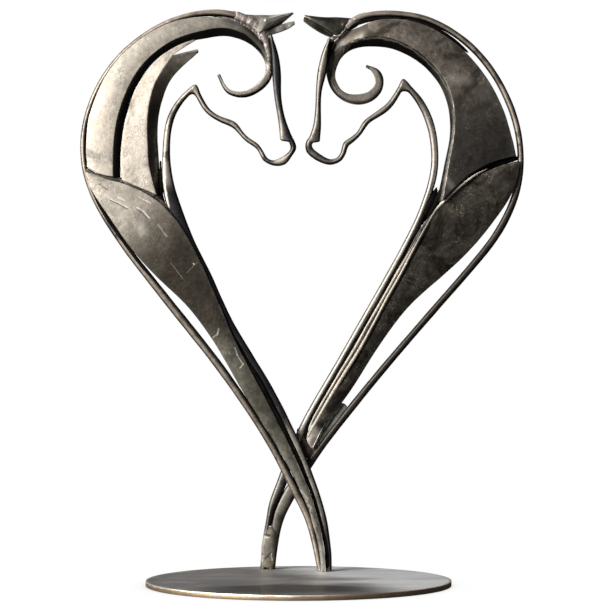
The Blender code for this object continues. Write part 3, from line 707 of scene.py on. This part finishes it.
# The chest fillet: its mark paints shade along its left side.
GREEN = worked_steel(
    "fillet steel", (0.74, 0.74, 0.66), (0.58, 0.6, 0.53), (0.42, 0.44, 0.38), 0.65, 0.9, 0.2, 0.0003,
    seed=22.0, coat=0.0,
    marks=line(SHADE, 1.5, 0.85, (343.5, 404), (332.8, 419.6), (323.4, 433), (315, 448)),
)
# The right leaf's rolled rims: darker towards the top, then painted light on the top stretch, which lies in
# the mane plate's shadow.
RIM = worked_steel(
    "rolled rim steel", (0.66, 0.6, 0.51), (0.5, 0.45, 0.38), (0.28, 0.245, 0.205), 0.72, 0.8, 0.2,
    0.0001, seed=24.0,
    bands=(((0.26, 0.235, 0.2), 395, 275, 425, 215), ((0.8, 0.73, 0.63), 434, 210, 444, 200)),
)

# Node, slot, angle of the edges kept sharp, their radius, smoothing, coarse and fine hammering, finish
PIECES = (
    ("left_crest_bar", "bar_steel", 60, 0.0006, 2, 0.0002, 0.00003, CREST),
    ("right_crest_bar", "bar_steel", 60, 0.0006, 2, 0.0002, 0.00003, SHADED_CREST),
    ("left_face_bar", "face_steel", 60, 0.0006, 2, 0.0002, 0.00003, LEFT_FACE),
    ("right_face_bar", "face_steel", 60, 0.0006, 2, 0.0002, 0.00003, RIGHT_FACE),
    ("left_mane_band", "mane_steel", 26, 0.0006, 3, 0.0004, 0.0001, CREAM),
    ("left_mane_lock", "mane_steel", 26, 0.0006, 3, 0.0004, 0.0001, LOCK),
    ("right_mane_plate", "mane_steel", 26, 0.0006, 3, 0.0004, 0.0001, SHADED_MANE),
    ("left_shoulder_plate", "leaf_steel", 26, 0.0006, 3, 0.0004, 0.0001, OLIVE),
    ("right_shoulder_plate", "leaf_steel", 26, 0.0006, 3, 0.0003, 0.0001, SHADED_LEAF),
    ("left_ear", "ear_steel", 26, 0.0003, 3, 0.0002, 0.0001, EAR),
    ("right_ear", "ear_steel", 26, 0.0003, 3, 0.0002, 0.0001, EAR),
)
for seed, (node, slot, crease, edge, levels, coarse, fine, material) in enumerate(PIECES):
    piece = softened("forged_" + node, node, edge, levels, crease)
    hammered(piece, coarse, fine, 7.3 * seed + 1.7)
    record_wear_and_shade(piece)
    finish_piece(piece, slot, material, node)

# Weld beads: name, horse's side, set back from its plane, flatness, lumps, finish, and the routes
# with rows of across, down, further back, radius in squares
# The throat welds and the right chest weld are near-black: painted shadow in the gaps they close.
WELDS = (
    ("left_chest_seam_weld", -1, -0.0035, 0.75, 0, BEAD, (
        ((88, 171, 0, 2.3), (98, 176.3, 0, 2.5), (117, 179.6, 0, 2.6), (128, 183.6, 0, 2.6),
         (141, 188.8, 0, 2.6), (154, 196.3, 0, 2.6), (163, 204, 0, 2.2), (171, 213, 0, 1.6)),
    )),
    ("left_throat_weld", -1, -0.0035, 0.75, 0, SHADOW_BLACK, (
        ((160.4, 162, 0.002, 1.2), (160.8, 178, 0.002, 1.8), (161.2, 195, 0.002, 2.4),
         (164.5, 206, 0.001, 2.0)),
    )),
    ("right_chest_shadow_weld", 1, -0.0035, 0.75, 0, SHADOW_BLACK, (
        ((516, 158.4, 0, 2.4), (500, 163.4, 0, 3.2), (482, 170.2, 0, 3.4), (466, 179.4, 0, 3.2),
         (454, 189, 0, 3.1), (444, 198.8, 0, 2.7)),
    )),
    ("right_throat_weld", 1, -0.002, 0.7, 0, SHADOW_BLACK, (
        ((436.5, 188, 0.002, 1.2), (433.5, 195, 0.001, 3.0), (429, 204.5, 0, 4.0), (424.5, 214, 0, 3.8),
         (420, 224, 0, 2.6)),
        ((440, 190, 0.002, 1.4), (438, 198, 0.001, 3.0), (434.5, 206, 0, 3.6), (430, 214, 0, 3.0),
         (425.5, 222, 0, 2.0)),
    )),
    ("crossing_web_weld", 1, -0.002, 0.45, 0.0003, WEB, (
        ((299, 431, 0, 3.0), (302, 440, 0, 4.5), (306, 448, 0, 5.2), (309.5, 455.5, 0, 4.8),
         (311.5, 461, 0, 3.0)),
        ((313.4, 447, 0, 1.6), (313.8, 450, 0, 2.2), (313.4, 454, 0, 2.4)),
    )),
    ("right_leg_weld", 1, -0.0046, 0.27, 0.0002, FOOT, (
        ((271.4, 529, 0.0012, 6.2), (270.6, 535, 0.0006, 7.6), (269.3, 543, 0, 7.8), (268.5, 550, 0, 7.7),
         (267.9, 557, 0, 7.5), (267.3, 562.6, 0, 7.0)),
    )),
    ("left_poll_weld", -1, -0.001, 0.6, 0.0004, POLL, (
        ((230, 14.6, 0, 3.0), (238, 17.2, -0.0015, 4.2), (246, 20.5, -0.002, 4.8),
         (254, 24.5, -0.002, 5.0), (260, 30, -0.001, 4.0), (263.5, 37, 0, 3.6), (266.5, 45, 0.001, 3.6),
         (268.5, 54, 0.002, 3.0), (269, 61, 0.003, 2.0)),
        ((262, 32, 0.001, 3.0), (268, 35.5, 0.001, 3.0), (271, 39, 0.001, 2.6)),
        ((205, 15.4, 0.003, 1.4), (214, 16, 0.003, 1.8), (224, 18, 0.002, 2.0), (234, 20.6, 0.002, 2.4),
         (244, 25.2, 0.002, 2.6), (253, 32, 0.002, 2.8), (260, 39.5, 0.003, 2.8)),
    )),
    ("right_poll_weld", 1, -0.001, 0.6, 0.0004, POLL, (
        ((364, 15.2, 0, 3.0), (357, 19.0, -0.0012, 4.0), (350, 23.5, -0.0015, 4.2),
         (343, 29, -0.001, 4.0), (336, 35, 0, 3.4)),
        ((334, 37, 0.001, 3.0), (329, 40, 0.001, 2.6)),
        ((370, 17.6, 0.002, 2.0), (358, 22.4, 0.002, 2.6), (348, 29, 0.002, 2.8), (340, 36, 0.003, 2.6)),
    )),
)
noise.seed_set(WELD_SEED)
for seed, (name, side, offset, flat, lumps, material, routes) in enumerate(WELDS):
    weld = weld_run(name, side, offset, routes, flat, seed + 2.5)
    if lumps:
        hammered(weld, lumps, lumps / 2, seed + 3.1)
    record_wear_and_shade(weld)
    finish_piece(weld, "bar_steel", material)

# The proud lip of the right leaf: across, down, share of its height, radius in squares
LIP = ((488, 168.6, 0, 0.4), (477.8, 173.4, 0.6, 1.0), (470.6, 178, 1, 1.2), (465.6, 181.7, 1, 1.4),
       (456.7, 188.9, 1, 1.5), (446.7, 198.4, 0.7, 1.5), (440, 205, 0, 1.4))
LIP_ROUTES = tuple(
    tuple((across, down, -step * share, radius) for across, down, share, radius in LIP)
    for step in (0.0025, 0.0045)
)

# Rolled rims, the chest fillet and black rods that paint shadow in gaps and on shaded flanks, in the same
# terms, without lumps
RODS = (
    ("chest_fillet", 1, -0.0015, 0.3, GREEN, (
        ((345, 404, 0, 3.0), (343.2, 406.5, 0, 4.4), (338.5, 412, 0, 5.0), (333.5, 419, 0, 4.8),
         (328, 427, 0, 4.4), (322.5, 435, 0, 3.8), (317.5, 443, 0, 3.4), (313.5, 450, 0, 3.2)),
    )),
    ("left_back_shadow_rod", -1, -0.0045, 0.8, SHADOW_BLACK, (
        ((89, 184, 0, 1.0), (97, 201, 0, 1.6), (108.5, 220.5, 0, 2.0), (116.5, 232, 0, 2.0),
         (124.3, 242.5, 0, 2.0), (132, 253, 0, 2.0), (140.5, 264.5, 0, 2.0), (148.5, 274, 0, 1.6),
         (157, 283.5, 0, 0.8)),
    )),
    ("left_brow_shadow_rod", -1, -0.002, 0.8, SHADOW_BLACK, (
        ((268.5, 38, 0, 1.6), (271, 48, 0, 2.2), (272.5, 58, 0, 2.4), (273, 68, 0, 2.2),
         (272.5, 78, 0, 1.4)),
    )),
    ("right_leg_shadow_rod", 1, -0.0045, 0.8, SHADOW_BLACK, (
        ((288, 474, 0, 1.4), (285.2, 481.5, 0, 1.9), (282.1, 489.3, 0, 2.0), (275.8, 501.8, 0, 2.0),
         (271.9, 511.1, 0, 2.0), (269.6, 522, 0, 2.0), (268.8, 527.5, 0, 1.7)),
    )),
    ("left_neck_shadow_rod", -1, -0.0045, 0.8, SHADOW_BLACK, (
        ((232, 334, 0, 1.0), (236, 341, 0, 1.9), (246.6, 361, 0, 2.6), (258.4, 380, 0, 3.2),
         (269, 400, 0, 3.2), (279, 420, 0, 3.2), (288.8, 440, 0, 2.8), (298.6, 460, 0, 2.5),
         (304.8, 476, 0, 2.4), (310.6, 490, 0, 2.2), (317.2, 510, 0, 2.0), (322.4, 530, 0, 2.0),
         (326.3, 550, 0, 2.1), (327, 568, 0, 2.0)),
    )),
    ("right_neck_shadow_rod", 1, -0.0045, 0.8, SHADOW_BLACK, (
        ((424, 213, 0, 2.0), (417, 230, 0, 2.3), (406.3, 250, 0, 2.3), (392.2, 275, 0, 1.9),
         (378.8, 300, 0, 1.8), (364.3, 325, 0, 1.8), (349.8, 350, 0, 2.0), (335.2, 375, 0, 1.9),
         (323, 395, 0, 1.9), (312, 415, 0, 1.8), (306, 428, 0, 2.2), (306, 434, 0, 2.4),
         (306.4, 440, 0, 2.0)),
    )),
    ("right_crest_shadow_rod", 1, -0.003, 0.8, SHADOW_BLACK, (
        ((345, 31, 0, 1.6), (351, 26.4, 0, 2.2), (358, 22.8, 0, 2.4), (373, 19.2, 0, 2.1),
         (391, 18.1, 0, 2.0), (416, 21, 0, 2.0), (437, 29.8, 0, 2.1), (450, 37.8, 0, 2.1),
         (460, 45.6, 0, 1.8), (469, 53.4, 0, 0.9)),
    )),
    ("right_brow_shadow_rod", 1, 0.0045, 0.8, SHADOW_BLACK, (
        ((333.5, 38.5, 0, 1.6), (331, 44, 0, 1.9), (329.4, 51, 0, 1.9), (327.6, 59, 0, 1.8),
         (324.8, 67, 0, 1.4)),
    )),
    ("right_chest_shadow_rod", 1, -0.003, 0.8, SHADOW_BLACK, (
        ((474, 170.5, 0, 1.2), (482, 166.6, 0, 1.9), (492, 161.8, 0, 2.3), (503, 158, 0, 2.4),
         (517, 155.4, 0, 2.0)),
        ((460, 186.6, 0.002, 1.0), (466, 182.6, 0.002, 2.0), (470.5, 179.6, 0.002, 2.0),
         (477, 175.4, 0.002, 1.8), (483, 172, 0.002, 0.8)),
    )),
    ("right_leaf_rims", 1, -0.0086, 0.9, RIM, (
        ((425.5, 220, 0.001, 0.8), (421, 230, 0.001, 1.2), (410.3, 250, 0.001, 1.4),
         (395.8, 275, 0.0005, 1.5), (381.8, 300, 0.0005, 1.5), (367.4, 325, 0.0005, 1.5),
         (353.5, 350, 0.0005, 1.5), (338.3, 375, 0.0005, 1.4), (326.6, 395, 0.0005, 1.3),
         (314.9, 415, 0.0005, 1.1), (311, 422.6, 0.0005, 0.9)),
        ((488, 168.6, -0.0004, 0.4), (477.8, 173.4, -0.0005, 1.0), (470.6, 178, -0.0005, 1.2),
         (465.6, 181.7, -0.0005, 1.3), (456.7, 188.9, -0.0005, 1.4), (446.7, 198.4, -0.0003, 1.5),
         (440, 205.0, 0, 1.5), (434.3, 212.2, 0, 1.4), (423.8, 230, 0, 1.3), (412.8, 250, 0, 1.3),
         (399.7, 275, 0, 1.4), (385.6, 300, 0, 1.4), (372.5, 325, 0, 1.4), (358.8, 350, 0, 1.7),
         (343.2, 375, 0, 1.9), (331, 395, 0, 1.9), (319.4, 415, 0, 1.7), (311, 430, 0, 1.6),
         (306.8, 438.5, 0, 1.2)),
        ((306.2, 439.5, 0, 0.9), (309, 444, 0, 0.9), (312.4, 449, 0, 0.9)),
        *LIP_ROUTES,
    )),
    ("right_leaf_shaded_groove", 1, -0.0088, 0.6, SHADOW_BLACK, (
        ((430, 221, 0, 0.8), (426.4, 230, 0, 1.0), (415.3, 250, 0, 1.1), (402.1, 275, 0, 1.1),
         (388, 300, 0, 1.1), (374.9, 325, 0, 1.1), (361.3, 350, 0, 1.0), (346.4, 374, 0, 0.9),
         (338, 388, 0, 0.6)),
    )),
)
for seed, (name, side, offset, flat, material, routes) in enumerate(RODS):
    rim = rods(name, side, offset, routes, flat)
    hammered(rim, 0.00012, 0.00005, seed + 9.7)
    finish_piece(rim, "leaf_steel", material)


# Studio: a white floor, a large soft key from the upper left, a weak fill and a strip above
def make_floor():
    bpy.ops.object.select_all(action="DESELECT")
    bpy.ops.mesh.primitive_plane_add(size=40, location=(0, 0, 0))
    floor = bpy.context.object
    floor.name = "studio_floor"
    finish = Finish("floor white")
    # The floor glows evenly white; ambient occlusion paints a soft contact shadow into it near the base.
    open_sky = finish.node("ShaderNodeAmbientOcclusion", {"samples": 8}, {"Distance": 0.09}, "AO")
    shade = finish.tint(open_sky, (0.62, 0.62, 0.61), (1.0, 1.0, 1.0))
    floor.data.materials.append(finish.close(finish.node("ShaderNodeEmission", {}, {"Color": shade})))
    floor.visible_diffuse = False
    floor.visible_glossy = False


def lamp(name, place, target, width, height, power):
    data = bpy.data.lights.new(name, "AREA")
    data.shape = "RECTANGLE"
    data.size, data.size_y, data.energy = width, height, power
    made = bpy.data.objects.new(name, data)
    made.location = place
    made.rotation_euler = (Vector(target) - Vector(place)).to_track_quat("-Z", "Y").to_euler()
    bpy.context.scene.collection.objects.link(made)


make_floor()
lamp("key", (-1.9, -1.5, 1.15), (0, 0.1, 0.32), 1.5, 1.5, 135)
lamp("fill", (1.6, -2.2, 0.9), (0, 0.1, 0.32), 0.9, 0.9, 2.5)
lamp("top", (-0.5, 0.3, 1.9), (0, 0.1, 0.3), 1.2, 0.6, 9)

world = bpy.data.worlds.new("studio")
world.use_nodes = True
bpy.context.scene.world = world
nodes, links = world.node_tree.nodes, world.node_tree.links
nodes.clear()
seen = nodes.new("ShaderNodeLightPath")
backdrop = nodes.new("ShaderNodeBackground")
backdrop.inputs["Color"].default_value = (1, 1, 1, 1)
room = nodes.new("ShaderNodeBackground")
room.inputs["Color"].default_value = (0.035, 0.038, 0.045, 1)
chosen = nodes.new("ShaderNodeMixShader")
out = nodes.new("ShaderNodeOutputWorld")
links.new(seen.outputs["Is Camera Ray"], chosen.inputs[0])
links.new(room.outputs[0], chosen.inputs[1])
links.new(backdrop.outputs[0], chosen.inputs[2])
links.new(chosen.outputs[0], out.inputs["Surface"])
bpy.context.scene.view_settings.view_transform = "Standard"

# Camera: level, straight on, as far off as the photograph's perspective says, in squares
CAMERA_SQUARES = 2860
CAMERA_ACROSS = 3.6
CAMERA_UP = 264.1
PICTURE_WIDTH = 612
camera_data = bpy.data.cameras.new("camera")
camera_data.sensor_width = 36
camera_data.lens = camera_data.sensor_width * CAMERA_SQUARES / PICTURE_WIDTH
camera = bpy.data.objects.new("camera", camera_data)
camera.location = (
    CAMERA_ACROSS * SQUARE, FIGURE_DEPTH - CAMERA_SQUARES * SQUARE, BASE_HEIGHT + CAMERA_UP * SQUARE,
)
camera.rotation_euler = (math.radians(90), 0, 0)
bpy.context.scene.collection.objects.link(camera)
bpy.context.scene.camera = camera
